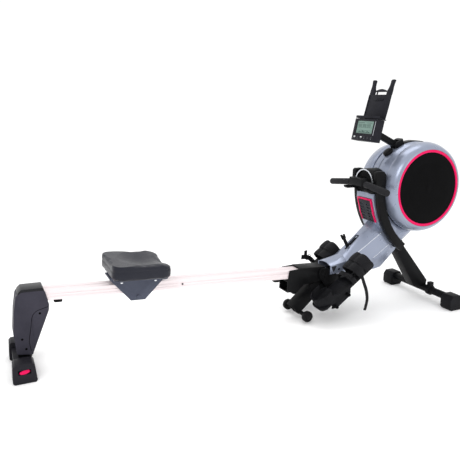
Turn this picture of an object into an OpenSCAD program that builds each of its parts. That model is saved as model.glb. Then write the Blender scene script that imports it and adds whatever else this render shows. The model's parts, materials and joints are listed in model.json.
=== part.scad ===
/* [Overall] */
// Length from the back of the rear foot to the front of the drum
overall_l = 2170; // [2160:1:2180]
// Width over the front stabiliser's end caps
overall_w = 510; // [500:2:530]

/* [Rail] */
// Width of the aluminium rail
rail_w = 68; // [64:1:70]
// Height of the aluminium rail
rail_h = 40; // [38:1:42]
// Angle at which the rail falls towards the drum
rail_tilt = 3.25; // [3.2:0.05:3.3]
// Height of the rail's top face above the back of the rear foot
rail_z = 326; // [325:1:327]
// Distance along the rail from the rear foot to the fold pivot
pivot_s = 1414; // [1412:1:1416]

/* [Seat] */
// Length of the seat pad along the rail
seat_l = 262; // [240:2:270]
// Width of the seat pad
seat_w = 280; // [260:2:290]
// Thickness of the seat pad
seat_t = 60; // [50:1:64]
// Place of the seat's middle along the rail
seat_s = 514; // [500:2:530]
// Radius of the upper seat rollers
roller_r = 13; // [12:0.5:13.5]

/* [Drum] */
// Height of the flywheel axle
drum_z = 612; // [608:1:616]
// Largest radius of the round drum covers
drum_r = 222.5; // [220:0.5:224]
// Half the width over both drum covers
drum_half_w = 140; // [136:1:144]
// Half the width of the central housing
spine_half_w = 66; // [64:1:67]
// Radius of the flywheel
flywheel_r = 160; // [150:1:164]

/* [Front frame] */
// Distance from the rear foot's back to the front stabiliser
stabiliser_x = 2080; // [2076:1:2084]
// Distance from the rear foot's back to the folding strut's wheels
strut_wheel_x = 1307; // [1304:1:1310]
// Radius of the strut's wheels
strut_wheel_r = 26; // [24:1:27]

/* [Footrests] */
// Slope of the foot plates
plate_slope = 34.5; // [33:0.5:36]
// Length of a foot plate
plate_l = 345; // [330:5:350]
// Width of a foot plate
plate_w = 108; // [100:2:110]

/* [Handle] */
// Length of the handle bar
handle_l = 437; // [420:1:450]
// Diameter of the foam grips
grip_d = 31; // [28:1:33]

/* [Console] */
// Width of the console
console_w = 166; // [150:2:180]
// Height of the console's face
console_h = 104; // [98:1:108]
// Lean of the console's face
console_lean = 12.3; // [10:0.1:14]
// Width of the tablet holder
holder_w = 160; // [150:2:170]
// Length of the tablet holder from its ledge to the prong tips
holder_h = 190; // [180:1:194]

/* [Hidden] */
$fn = 48;

mid_x = overall_l / 2;
gap = 0.3;
fit = 0.05;
big = 600;

// Central housing and drum
drum_x = overall_l - drum_r;
spine_r = 220;
spine_side_r = 202;
cover_inner_r = 208;
left_cover_r = 211;
shell_t = 3.5;
ring_r = 188;
grille_r = 175;

// Fold pivot, measured down from the rail's top face
pivot_drop = 18;
pivot_x = pivot_s * cos(rail_tilt) - pivot_drop * sin(rail_tilt);
pivot_z = rail_z - pivot_s * sin(rail_tilt) - pivot_drop * cos(rail_tilt);
pin_d = 12;

// Rail and carriage
rail_start = 62;
rail_wall = 5;
plate_t = 4;
plate_y = rail_w / 2 + 6;
carriage_top = 27;
lower_r = 14;
bolt_d = 8;
roller_gap = 71;
roller_w = 16;
pad_bottom = 38;

// Seat rear plate and bumpers
bumper_h = 19;
rear_bumper_s = 200;
front_bumper_s = 1190;

// Rear foot
foot_l = 88;
foot_h = 78;
foot_half_w = 142;
foot_cap_w = 64;

// Front frame
beam_w = 60;
beam_h = 56;
beam_t = 3;
beam_x = 1456;
beam_z = 150;
beam_slope = 22;
beam_l = 440;
ear_y = 46.5;
ear_t = 5;
tube_d = 38;
tube_z = 52;
cap_w = 68;
cap_l = 78;
cap_h = 76;
leg_half_w = 30;
leg_top_x = 1868;
strut_half_w = 25;
strut_slope = 40.7;
strut_l = 226;
strut_h = 60;
strut_end = [1280, 48];
strut_wheel_y = 89;
strut_wheel_z = 36;
strut_wheel_w = 22;

// Handle arms: an arc in the side view
arm_r = 377;
arm_cx = 2077;
arm_cz = 620;
arm_y = 82;
arm_w = 24;
arm_h = 42;
arm_sweep = 54;
arm_tube = [1840, 327];

// Footrests
bar_d = 16;
bar_front = [1472, 150];
bar_rear = [1408, 100];
bar_half_l = 186;
plate_x = 1338;
plate_z = 82;
plate_mid_y = 126;
footplate_t = 10;
heel_h = 46;
strap_from_heel = 286;
strap_w = 84;
strap_t = 5;
strap_h = 68;

// Handle
handle_x = 1630;
handle_z = 648;
handle_drop = 7;
bar_tube_d = 22;
block_w = 110;
block_h = 36;
strap_band_w = 25;

// Strap spool
spool_x = 1722;
spool_z = 602;
spool_r = 32;
drive_y = 40;

// Console
face_x = 1637;
face_z = 844;
console_d = 41;
button_count = 6;
button_pitch = 25;
button_z = 17;
holder_x = 1700;
holder_z = 942.5;
holder_lean = 15;
holder_t = 6;
knob_angle = 130.7;
base_angle = 114.5;
// Console joints: the head joint in the console's frame, the base joint above the housing
head_pin = [57, 52];
head_joint = [face_x + head_pin[0] * cos(console_lean) + head_pin[1] * sin(console_lean),
    face_z - head_pin[0] * sin(console_lean) + head_pin[1] * cos(console_lean)];
base_pin = [-14, spine_r + 15];
base_lean = 90 - base_angle;
arm_base = [drum_x + base_pin[0] * cos(base_lean) + base_pin[1] * sin(base_lean),
    drum_z - base_pin[0] * sin(base_lean) + base_pin[1] * cos(base_lean)];

// Brake lever and magnet bracket
lever_pivot = [1590, 318];
lever_lean = 28;
magnet_pivot = [1896, 430];
lock_spot = [1425, 200];

// Moves geometry measured from the back of the rear foot into the part's frame
module place() {
    translate([-mid_x, 0, 0]) children();
}

// Rail frame: x along the rail, z up from its top face
module on_rail() {
    place() translate([0, 0, rail_z]) rotate([0, rail_tilt, 0]) children();
}

// Outline drawn as [x, z] and spread evenly over a width
module side_plate(w, pts) {
    rotate([90, 0, 0]) linear_extrude(w, center = true) polygon(pts);
}

module along_y(d, l) {
    rotate([90, 0, 0]) cylinder(d = d, h = l, center = true);
}

module along_x(d, l) {
    rotate([0, 90, 0]) cylinder(d = d, h = l, center = true);
}

// Box centred on x and y that stands on z = 0
module block(l, w, h) {
    translate([-l / 2, -w / 2, 0]) cube([l, w, h]);
}

// Flat slab with round corners, standing on z = 0
module slab(l, w, h, r) {
    block(l - 2 * r, w, h);
    block(l, w - 2 * r, h);
    for (sx = [-1, 1], sy = [-1, 1])
        translate([sx * (l / 2 - r), sy * (w / 2 - r), 0]) cylinder(r = r, h = h);
}

// Right-hand shape and its mirror image
module both_sides() {
    children();
    mirror([0, 1, 0]) children();
}

// Turns a profile of [radius, distance from the middle] about the flywheel axis, to the right side
module about_drum(pts, n = 96) {
    translate([drum_x, 0, drum_z]) rotate([90, 0, 0]) rotate_extrude($fn = n) polygon(pts);
}

// Closed skin over a row of sections that all have the same number of points
module loft(sections) {
    n = len(sections[0]);
    last = len(sections) - 1;
    sides = [for (i = [0:last - 1], j = [0:n - 1], k = [0, 1])
        let (a = i * n + j, b = i * n + (j + 1) % n, c = a + n, d = b + n)
        k == 0 ? [a, c, b] : [b, c, d]];
    start_cap = [[for (j = [0:n - 1]) j]];
    end_cap = [[for (j = [n - 1:-1:0]) last * n + j]];
    polyhedron([for (s = sections) for (p = s) p], concat(sides, start_cap, end_cap));
}

// ---- Front frame ----

module front_stabiliser() {
    color("#26272a") place() {
        translate([stabiliser_x, 0, tube_z]) difference() {
            along_y(tube_d, overall_w - cap_w);
            along_y(tube_d - 5, overall_w);
        }
        // Clamp with its bolt, beside the leg
        translate([stabiliser_x, -72, tube_z]) difference() {
            union() {
                along_y(tube_d + 14, 22);
                translate([0, 0, tube_d / 2]) block(26, 22, 24);
            }
            along_y(tube_d + 2 * gap, 40);
        }
    }
}

module stabiliser_cap() {
    side = [[-39, 12], [-30, 0], [30, 0], [39, 12], [39, 54], [24, 76], [-24, 76], [-39, 54]];
    translate([stabiliser_x, -overall_w / 2 + cap_w / 2, 0]) difference() {
        side_plate(cap_w, side);
        translate([0, cap_w / 2 - 17, tube_z]) along_y(tube_d + 2 * fit, cap_w);
    }
}

module stabiliser_caps() {
    color("#2e2f33") place() both_sides() stabiliser_cap();
}

module front_leg() {
    outline = [[1880, 268], [leg_top_x, 312], [leg_top_x, 345], [1900, 345], [1919, 299], [2094, 92], [2090, 66],
        [2010, 66]];
    color("#1e1f21") place() difference() {
        side_plate(2 * leg_half_w, outline);
        side_plate(2 * leg_half_w - 7, [[1890, 268], [1878, 312], [1878, 336], [1896, 336], [1914, 290], [2080, 92],
            [2014, 76]]);
        translate([stabiliser_x, 0, tube_z]) along_y(tube_d + 2 * fit, 2 * leg_half_w + 2);
    }
}

// Square tube from the fold joint up to the drum, with the ears of the joint
module on_beam() {
    translate([beam_x, 0, beam_z]) rotate([0, -beam_slope, 0]) children();
}

module main_beam() {
    ear = [[1446, 138], [1490, 138], [1490, 212], [1440, 248], [1404, 248], [1392, 232], [1396, 206]];
    axle_plate = [[1834, 344.2], [1850, 348], [1900, 379], [1970, 600], [1966, 630], [1926, 630], [1918, 604],
        [1838, 372]];
    color("#232427") place() {
        difference() {
            union() {
                on_beam() translate([0, -beam_w / 2, 0]) cube([beam_l, beam_w, beam_h]);
                // Foot of the ears, and the end that meets the leg
                translate([1468, 0, 138]) block(36, 2 * ear_y - ear_t, 46);
                side_plate(beam_w - 7, [[1846, 352], [1858, 320], [leg_top_x - 0.1, 316], [leg_top_x - 0.1, 344]]);
                translate([arm_tube[0], 0, arm_tube[1]]) along_y(tube_d, 2 * arm_y - arm_w);
            }
            on_beam() translate([20, -beam_w / 2 + beam_t, beam_t])
                cube([beam_l - 60, beam_w - 2 * beam_t, beam_h - 2 * beam_t]);
            translate([arm_tube[0], 0, arm_tube[1]]) along_y(tube_d - 5, 200);
            translate([bar_front[0], 0, bar_front[1]]) along_y(bar_d + 2 * fit, 200);
        }
        // Ears either side of the rail's hinge bracket
        both_sides() difference() {
            translate([0, -ear_y, 0]) side_plate(ear_t, ear);
            translate([pivot_x, -ear_y, pivot_z]) along_y(pin_d + 2 * fit, 20);
            translate([lock_spot[0], -ear_y, lock_spot[1]]) along_y(bolt_d + 2 * fit, 20);
            translate([bar_front[0], -ear_y, bar_front[1]]) along_y(bar_d + 2 * fit, 20);
        }
        // Cheeks for the lever's pin
        both_sides() translate([0, -8, 0]) difference() {
            side_plate(4, [[1572, 230], [1612, 242], [1600, 324], [1591, 324], [1584.5, 317.5]]);
            translate([lever_pivot[0], 0, lever_pivot[1]]) along_y(6 + 2 * fit, 20);
        }
        // Plates that hold the flywheel axle, each on a tab of the cross tube
        both_sides() translate([0, -50.4, 0]) difference() {
            side_plate(3.2, [[1832, 336], [1848, 336], [1848, 350], [1834, 350]]);
            translate([arm_tube[0], 0, arm_tube[1]]) along_y(tube_d - 5, 200);
        }
        both_sides() translate([0, -51.2, 0]) difference() {
            side_plate(3, axle_plate);
            translate([drum_x, 0, drum_z]) along_y(17 + 2 * fit, 20);
            translate([magnet_pivot[0], 0, magnet_pivot[1]]) along_y(6 + 2 * fit, 20);
        }
    }
}

module wheel_strut() {
    color("#1d1e20") place() {
        difference() {
            translate([strut_end[0], 0, strut_end[1]]) rotate([0, -strut_slope, 0])
                translate([0, -strut_half_w, -strut_h / 2]) cube([strut_l, 2 * strut_half_w, strut_h]);
            translate([strut_end[0], 0, strut_end[1]]) rotate([0, -strut_slope, 0])
                translate([-1, -strut_half_w + beam_t, -strut_h / 2 + beam_t])
                cube([strut_l - 60, 2 * (strut_half_w - beam_t), strut_h - 2 * beam_t]);
            // Room for the rail's swing and for the ears' foot
            translate([1380, -60, 204]) cube([big, 120, big]);
            translate([1450, -60, 100]) cube([big, 120, big]);
            on_beam() translate([-0.2, -60, -60]) cube([big, 120, big]);
            translate([strut_wheel_x, 0, strut_wheel_z]) along_y(20, 80);
        }
        translate([strut_wheel_x, 0, strut_wheel_z]) difference() {
            along_y(20, 2 * (strut_wheel_y - strut_wheel_w / 2) - 2);
            along_y(pin_d + 2 * fit, 200);
        }
    }
}

// Fixed shafts of the fold joint, strut wheels, flywheel, spool, magnets and lever
module axles() {
    color("#3c3e42") place() {
        translate([pivot_x, 0, pivot_z]) along_y(pin_d, 100);
        translate([strut_wheel_x, 0, strut_wheel_z]) along_y(pin_d, 2 * strut_wheel_y + strut_wheel_w + 6);
        translate([drum_x, 0, drum_z]) along_y(17, 120);
        translate([spool_x, 0, spool_z]) along_y(12, 120);
        for (p = [magnet_pivot, lever_pivot])
            translate([p[0], 0, p[1]]) along_y(6, p == lever_pivot ? 24 : 110);
    }
}

module strut_wheel() {
    place() translate([strut_wheel_x, -strut_wheel_y, strut_wheel_z]) rotate([90, 0, 0])
        rotate_extrude($fn = 64)
        polygon([[pin_d / 2 + fit, -11], [12, -11], [14, -8], [20, -8], [22, -11], [strut_wheel_r - 3, -11],
            [strut_wheel_r, -8], [strut_wheel_r, 8], [strut_wheel_r - 3, 11], [22, 11], [20, 8], [14, 8],
            [12, 11], [pin_d / 2 + fit, 11]]);
}

module strut_wheel_right() {
    color("#303136") strut_wheel();
}

module strut_wheel_left() {
    color("#303136") mirror([0, 1, 0]) strut_wheel();
}

// Curved tubes either side of the housing, with a rest for the handle on each
module handle_arm() {
    cheek = [[1664, 604], [1664, 694], [1672, 702], [1708, 702], [1721, 686], [1721, 604]];
    rest = [[1665, 606], [1622, 606], [1614, 612], [1614, 620], [1665, 620]];
    translate([arm_cx, -arm_y, arm_cz]) rotate([90, 0, 0]) rotate([0, 0, 180])
        rotate_extrude(angle = arm_sweep, $fn = 180)
        translate([arm_r, 0]) square([arm_h, arm_w], center = true);
    translate([0, -arm_y, 0]) {
        side_plate(arm_w, cheek);
        side_plate(arm_w, rest);
    }
}

module handle_arms() {
    color("#191a1c") place() both_sides() handle_arm();
}

// ---- Footrests ----

// Foot plate frame: x up the slope from the heel end, z out of the plate
module on_plate() {
    place() translate([plate_x, 0, plate_z]) rotate([0, -plate_slope, 0]) children();
}

module footrest_bars() {
    bracket = [[1384, 84], [1424, 84], [1500, 130], [1500, 136], [1444, 136], [1440, 178], [1384, 128]];
    color("#202124") place() {
        for (p = [bar_front, bar_rear])
            translate([p[0], 0, p[1]]) difference() {
                along_y(bar_d, 2 * bar_half_l);
                along_y(bar_d - 4, 2 * bar_half_l + 2);
            }
        both_sides() translate([0, -strut_half_w - 2.5, 0]) difference() {
            side_plate(5, bracket);
            for (p = [bar_front, bar_rear])
                translate([p[0], 0, p[1]]) along_y(bar_d + 2 * fit, 20);
        }
    }
}

module footplate() {
    difference() {
        union() {
            on_plate() translate([plate_l / 2, -plate_mid_y, 0]) {
                slab(plate_l, plate_w, footplate_t, 30);
                // Raised grip bars across the sole
                for (i = [1:5])
                    translate([-30 + i * 30, 0, footplate_t]) block(8, plate_w - 30, 2);
            }
            // Ribs under the plate, down to the two bars
            for (y = [-plate_mid_y - 38, -plate_mid_y + 38])
                place() translate([0, y, 0])
                side_plate(6, [[1392, 88], [1420, 88], [1492, 140], [1492, 186], [1400, 122]]);
        }
        for (p = [bar_front, bar_rear])
            place() translate([p[0], -plate_mid_y, p[1]]) along_y(bar_d + 2 * fit, 140);
    }
}

module footplate_right() {
    color("#2b2c30") footplate();
}

module footplate_left() {
    color("#2b2c30") mirror([0, 1, 0]) footplate();
}

// Heel cup that slides along its foot plate
module heel_cup() {
    on_plate() translate([4, -plate_mid_y, footplate_t + gap]) difference() {
        union() {
            translate([54, 0, 0]) cylinder(r = 54, h = heel_h);
            translate([80, 0, 0]) block(60, 108, heel_h);
        }
        translate([54, 0, 5]) cylinder(r = 47, h = heel_h);
        translate([90, 0, 5]) block(80, 94, heel_h);
        // The wall falls away towards the toe
        translate([64, -60, 8]) rotate([0, 24, 0]) translate([0, 0, 20]) cube([90, 120, 80]);
    }
}

module heel_cup_right() {
    color("#26272b") heel_cup();
}

module heel_cup_left() {
    color("#26272b") mirror([0, 1, 0]) heel_cup();
}

// Strap arch over the foot, with its buckle and hanging tail
module foot_strap() {
    half = plate_w / 2 + strap_t;
    bottom = footplate_t / 2;
    rise = strap_h - half + 15;
    on_plate() translate([strap_from_heel, -plate_mid_y, 0]) {
        rotate([90, 0, 90]) translate([0, 0, -strap_w / 2]) linear_extrude(strap_w) difference() {
            union() {
                translate([-half, bottom]) square([2 * half, rise - bottom]);
                translate([0, rise]) circle(r = half);
            }
            translate([-half + strap_t, bottom - 1]) square([2 * (half - strap_t), rise - bottom + 1]);
            translate([0, rise]) circle(r = half - strap_t);
            translate([-big / 2, bottom - big]) square(big);
        }
    }
    // Tail hanging from the outer side
    place() translate([1556, -plate_mid_y - half - 2, 60]) block(20, 3, 160);
}

module foot_straps() {
    color("#232327") both_sides() foot_strap();
}

// ---- Housing ----

function front_outline(inset) = [[1676 + inset, 592], [1676 + inset, 560], [1697 + inset, 487],
    [1730 + inset, 416 + inset], [1830, 372 + inset], [1830, 592]];

module spine_half() {
    outer = [[150, spine_half_w - shell_t], [spine_side_r - shell_t, spine_half_w - shell_t],
        [spine_r - shell_t, 31], [spine_r - shell_t, 0.15], [spine_r, 0.15], [spine_r, 32],
        [spine_side_r, spine_half_w], [150, spine_half_w]];
    depth = spine_half_w - 1;
    difference() {
        about_drum(outer);
        // The nose and the top of the front block are open to the drum
        translate([0, -depth / 2 + shell_t, 0]) side_plate(depth, front_outline(shell_t));
        translate([1650, -58, 590]) cube([100, 60, 100]);
        // Slot for the plate that holds the flywheel axle
        translate([0, -52, 0]) side_plate(5, [[1850, 370], [1960, 370], [1960, 440], [1850, 440]]);
    }
    difference() {
        translate([0, -depth / 2 - 0.15, 0]) side_plate(depth, front_outline(0));
        translate([0, -depth / 2 + shell_t, 0]) side_plate(depth, front_outline(shell_t));
        translate([drum_x, -40, drum_z]) along_y(2 * spine_r, 100);
    }
}

module spine_shell_right() {
    color("#b9c4d3") place() spine_half();
}

module spine_shell_left() {
    color("#b9c4d3") place() mirror([0, 1, 0]) spine_half();
}

// Half section of the neck at one station: top band, ridge, side and bottom
function neck_half(x, band, side, top, ridge, low, bot, t) = [[x, 0.15, top - t], [x, -band, top - t],
    [x, -side + t, ridge - t / 2], [x, -side + t, low + t / 2], [x, -side * 0.7, bot + t], [x, 0.15, bot + t]];

function neck_sections(t) = [
    neck_half(1453 - t, 18, 53, 266, 256, 214, 206, t),
    neck_half(1545, 20, 55, 290, 270, 222, 205, t),
    neck_half(1640, 22, 58, 374, 329, 236, 204, t),
    neck_half(1724, 22, 60, 446, 384, 284, 205, t),
    neck_half(1762, 22, 60, 470, 408, 310, 212, t),
    neck_half(1804, 22, 60, 500, 434, 337, 250, t),
    neck_half(1850, 22, 60, 520, 470, 358, 292, t),
    neck_half(1890, 22, 60, 530, 500, 376, 338, t),
    neck_half(1945, 22, 60, 540, 520, 398, 379, t),
    neck_half(1992 + t, 22, 60, 550, 530, 422, 413, t)];

module neck_half_cover() {
    difference() {
        loft(neck_sections(0));
        loft(neck_sections(shell_t));
        translate([0, -40, 0]) side_plate(100, front_outline(0));
        translate([drum_x, -40, drum_z]) along_y(2 * spine_r + 2 * gap, 100);
        // Mouth for the leg
        side_plate(2 * leg_half_w + 2, [[1866, 200], [1866, 348], [1930, 348], [2000, 200]]);
        // Mouth for the cross tube
        translate([arm_tube[0], 0, arm_tube[1]]) along_y(tube_d + 2, 200);
        // Slot along the belly for the beam, and the open end around the fold joint
        translate([1440, -beam_w / 2 - 1, 190]) cube([260, 80, 30]);
        translate([1440, -49.4, 190]) cube([54, 60, 64]);
        // Slot for the lever
        translate([1602, 0, 340]) rotate([0, -40, 0]) cube([80, 12, 60], center = true);
    }
}

module neck_covers() {
    color("#b4bfd0") place() {
        neck_half_cover();
        mirror([0, 1, 0]) neck_half_cover();
    }
}

module nose_hood() {
    depth = 76;
    front = 1664;
    half = 69.5;
    rise = 640;
    bottom = 592 + gap;
    wall = 9;
    color("#17181a") place() difference() {
        union() {
            translate([front + depth / 2, 0, rise]) along_x(2 * half, depth);
            translate([front + depth / 2, 0, bottom]) block(depth, 2 * half, rise - bottom);
        }
        difference() {
            union() {
                translate([front, 0, rise]) along_x(2 * (half - wall), 200);
                translate([front, 0, bottom + 8]) block(200, 2 * (half - wall), rise - bottom - 8);
            }
            // Guide plate for the strap
            translate([front + 10, -big / 2, 0]) cube([4, big, big * 2]);
        }
        translate([front, 0, 625]) block(60, 32, 18);
        translate([front, 0, bottom - 100]) block(400, 200, 100);
        translate([front + 116, 0, 560]) block(200, 2 * (half - wall), 60);
        translate([drum_x, 0, drum_z]) along_y(2 * spine_r + 2 * gap, 300);
    }
}

module nose_trim() {
    color("#d5d9de") place() translate([1663, 0, 640]) rotate([90, 0, 90]) difference() {
        cylinder(r = 67.5, h = 2, center = true);
        cylinder(r = 61.5, h = 4, center = true);
        translate([-80, -160, -5]) cube([160, 160, 10]);
    }
}

function vent_outline(t) = [[1676, 556], [1696.9, 487], [1714.5, 448], [1714 - t, 446], [1697 - t, 483],
    [1676 - t, 554]];

module vent_panel() {
    color("#4a4c52") place() difference() {
        side_plate(92, vent_outline(5));
        for (i = [0:5], sy = [-1, 1])
            translate([1676 + i * 5, sy * 25, 532 - i * 15]) cube([60, 30, 5], center = true);
    }
}

module vent_trim() {
    color("#d6215f") place() {
        both_sides() translate([0, -49.5, 0]) side_plate(7, vent_outline(7));
        translate([1672.5, 0, 556]) block(7, 106, 9);
    }
}

// Cover with its largest radius r near the housing
module drum_cover(r) {
    about_drum([[cover_inner_r - 4, 66 + gap], [cover_inner_r, 66 + gap], [max(cover_inner_r, r - 5.5), 70],
        [r - 1.5, 76], [r, 84], [r - 2.5, 100], [max(203, r - 11.5), 122], [199, 135],
        [ring_r + 0.5, drum_half_w - 1], [ring_r + 0.5, 133], [grille_r - 6, 133], [grille_r - 6, 129],
        [ring_r + 4, 129], [195, 129], [max(199, r - 15.5), 119], [r - 6.5, 98], [r - 4, 85], [r - 5.5, 79],
        [max(cover_inner_r - 3.7, r - 9.5), 73]]);
}

module drum_cover_right() {
    color("#bac6d6") place() drum_cover(drum_r);
}

module drum_cover_left() {
    color("#bac6d6") place() mirror([0, 1, 0]) drum_cover(left_cover_r);
}

module accent_rings() {
    color("#dd2766") place() both_sides()
        about_drum([[grille_r + 0.3, 133 + gap], [ring_r, 133 + gap], [ring_r, drum_half_w - 2],
            [ring_r - 4, drum_half_w], [grille_r + 4, drum_half_w], [grille_r + 0.3, drum_half_w - 2]]);
}

module drum_grille() {
    difference() {
        about_drum([[0, 133 + gap], [grille_r, 133 + gap], [grille_r, 136], [grille_r - 8, 138], [0, 138]]);
        for (i = [0:23])
            translate([drum_x, -130, drum_z]) rotate([0, i * 15, 0]) {
                translate([78, 0, 0]) along_y(9, 40);
                translate([100, 0, 0]) along_y(9, 40);
            }
    }
}

module drum_grilles() {
    color("#1b1c1e") place() both_sides() drum_grille();
}

// Boot of the console arm, its end cap and the dark strip over the top of the housing
module console_base() {
    color("#202226") place() {
        translate([drum_x, 0, drum_z]) rotate([0, 90 - base_angle, 0]) {
            difference() {
                translate([0, 0, spine_r - 6]) slab(56, 50, 33, 10);
                translate([-40, -16, spine_r + 1]) cube([50, 32, 40]);
                along_y(2 * spine_r + 2 * gap, 80);
            }
            translate([base_pin[0], 0, base_pin[1]]) along_y(8, 50);
        }
        translate([drum_x, 0, drum_z]) rotate([90, 0, 0]) rotate([0, 0, 60])
            rotate_extrude(angle = 46, $fn = 96) translate([spine_r + gap, -22]) square([4, 44]);
    }
}

module arm_knob() {
    color("#303236") place() translate([drum_x, 0, drum_z]) rotate([0, 90 - knob_angle, 0])
        translate([0, 0, spine_r + gap]) rotate_extrude($fn = 48)
        polygon([[0, 0], [23, 0], [25, 3], [25, 9], [20, 14], [10, 16], [0, 16]]);
}

module cover_screws() {
    color("#17181a") place() {
        both_sides() translate([1836, -61 - gap, 300]) along_y(9, 2);
        both_sides() translate([1500, -55.5 - gap, 236]) along_y(9, 2);
    }
}

// ---- Drive ----

module flywheel() {
    color("#6d7278") place() {
        about_drum([[8.5 + fit, -26], [24, -26], [24, -8], [flywheel_r - 22, -8], [flywheel_r - 22, -14],
            [flywheel_r, -14], [flywheel_r, 14], [flywheel_r - 22, 14], [flywheel_r - 22, 8], [24, 8],
            [24, drive_y - 8], [22, drive_y - 8], [22, drive_y + 8], [8.5 + fit, drive_y + 8]]);
        // Fan blades on both faces
        translate([drum_x, 0, drum_z]) for (i = [0:15], sy = [-1, 1])
            rotate([0, i * 22.5, 0]) translate([80, sy * 15, 0]) cube([90, 16, 3], center = true);
    }
}

module strap_spool() {
    color("#55585d") place() translate([spool_x, 0, spool_z]) rotate([90, 0, 0]) rotate_extrude($fn = 72)
        polygon([[6 + fit, -20], [38, -20], [38, -16], [spool_r, -16], [spool_r, 16], [38, 16], [38, 20],
            [20, 20], [20, drive_y - 9], [38, drive_y - 9], [38, drive_y - 7], [36, drive_y - 7],
            [36, drive_y + 7], [38, drive_y + 7], [38, drive_y + 9], [6 + fit, drive_y + 9]]);
}

// Belt round the spool's pulley and the flywheel's pulley
module drive_belt() {
    dx = drum_x - spool_x;
    dz = drum_z - spool_z;
    run = sqrt(dx * dx + dz * dz);
    color("#1b1b1d") place() translate([spool_x, -drive_y, spool_z]) rotate([0, -atan2(dz, dx), 0])
        rotate([90, 0, 0]) linear_extrude(11, center = true) difference() {
            union() {
                circle(r = 39);
                translate([run, 0]) circle(r = 25);
                polygon([[0, 39], [run, 25], [run, -25], [0, -39]]);
            }
            circle(r = 36.5);
            translate([run, 0]) circle(r = 22.5);
            polygon([[0, 36.5], [run, 22.5], [run, -22.5], [0, -36.5]]);
        }
}

// Coiled recoil spring in its round case
module recoil_spring() {
    color("#8a8d92") place() translate([spool_x, 34, spool_z]) rotate([90, 0, 0])
        for (r = [14:6:32])
            difference() {
                cylinder(r = r + 1.5, h = 16, center = true);
                cylinder(r = r, h = 20, center = true);
            }
}

// Swinging bracket that carries the brake magnets over the flywheel's rim
module magnet_bracket() {
    color("#9a9ea4") place() {
        for (sy = [-1, 1])
            translate([0, sy * 20, 0]) difference() {
                side_plate(3, [[1902, 440], [1880, 420], [1990, 416], [2080, 470], [2056, 500], [1990, 458]]);
                translate([magnet_pivot[0], 0, magnet_pivot[1]]) along_y(6 + 2 * fit, 20);
            }
        translate([1990, 0, 420]) block(40, 43, 6);
        for (sy = [-1, 1], x = [1990, 2030])
            translate([x, sy * 16.6, 452 + (x - 1990) * 0.45]) cube([26, 4, 20], center = true);
    }
}

// ---- Lever and lock ----

module brake_lever() {
    color("#141517") place() translate([lever_pivot[0], 0, lever_pivot[1]]) rotate([0, -lever_lean, 0]) {
        difference() {
            union() {
                translate([0, 0, -6]) block(14, 8, 66);
                along_y(14, 8);
            }
            along_y(6 + 2 * fit, 20);
        }
        translate([0, 0, 58]) slab(24, 12, 14, 5.9);
        translate([-7, 0, 70]) slab(10, 12, 13, 4.9);
        translate([7, 0, 70]) slab(10, 12, 8, 4.9);
    }
}

// Spring pin on the left ear that locks the rail down
module lock_pin() {
    color("#1a1b1d") place() translate([lock_spot[0], 0, lock_spot[1]]) {
        translate([0, 46.5, 0]) along_y(bolt_d, 13);
        translate([0, 64, 0]) along_y(22, 22);
    }
}

// ---- Rail ----

module rail_profile() {
    difference() {
        translate([-rail_w / 2, -rail_h]) square([rail_w, rail_h]);
        translate([-rail_w / 2 + rail_wall, -rail_h + rail_wall])
            square([rail_w - 2 * rail_wall, rail_h - 2 * rail_wall]);
        for (sx = [-1, 1], z = [-14, -26])
            translate([sx * rail_w / 2, z]) square([4, 5], center = true);
        translate([-6, -2]) square([12, 4]);
    }
}

module rail() {
    color("#d7d9dc") on_rail() difference() {
        translate([rail_start, 0, 0]) rotate([90, 0, 90]) linear_extrude(pivot_s + 6 - rail_start) rail_profile();
        translate([pivot_s, 0, -pivot_drop]) along_y(pin_d + 2 * fit, 100);
    }
}

// Steel sleeve around the rail's front end, with an open box under its rear
module hinge_bracket() {
    rear = 1238;
    front = pivot_s + 20;
    side_y = rail_w / 2 + 3;
    side = [[rear, 1], [rear - 6, -50], [rear - 6, -106], [1292, -106], [1312, -76], [front - 10, -58],
        [front, -40], [front, 6], [1296, 6]];
    color("#161719") on_rail() {
        both_sides() difference() {
            translate([0, -side_y, 0]) side_plate(4, side);
            translate([pivot_s, -side_y, -pivot_drop]) along_y(pin_d + 2 * fit, 20);
        }
        translate([(1296 + front) / 2, 0, 0.2]) block(front - 1296, 2 * side_y + 4, 7.8);
        for (z = [-106, -56])
            translate([1261, 0, z]) block(58, 2 * side_y - 3, 4);
    }
}

module rail_bumper(s) {
    translate([s, 0, -rail_h - bumper_h]) slab(32, 30, bumper_h, 8);
}

module rail_bumpers() {
    color("#2a2a2c") on_rail() {
        rail_bumper(rear_bumper_s);
        rail_bumper(front_bumper_s);
        both_sides() translate([710, -rail_w / 2 - 2, -20]) along_y(8, 4);
    }
}

// ---- Rear leg ----

function rear_outline(t) = [[50 - t, 322 - t], [62, 333 - t], [140 - t, 331 - t], [148 - t, 312],
    [159 - t, 262], [156 - t, 238], [84 - t, 66 + t], [27 + t, 76 + t], [20 + t, 160], [29 + t, 247],
    [40 + t, 306]];

module rear_cover() {
    depth = 40;
    difference() {
        translate([0, -depth / 2 - 0.15, 0]) side_plate(depth, rear_outline(0));
        translate([0, -depth / 2 + 3, 0]) side_plate(depth, rear_outline(3));
        // Mouth for the rail and for the post
        translate([0, 0, rail_z]) rotate([0, rail_tilt, 0])
            translate([60, -rail_w / 2 - gap, -rail_h - gap]) cube([200, rail_w + 2 * gap, rail_h + 2 * gap]);
        translate([54, 0, 50]) block(52, 52, 40);
        // Dark seam line between the two mouldings
        translate([92, -40, 130]) cube([2, 2, 180], center = true);
    }
}

module rear_covers() {
    color("#4d4f57") place() {
        rear_cover();
        mirror([0, 1, 0]) rear_cover();
    }
}

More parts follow.
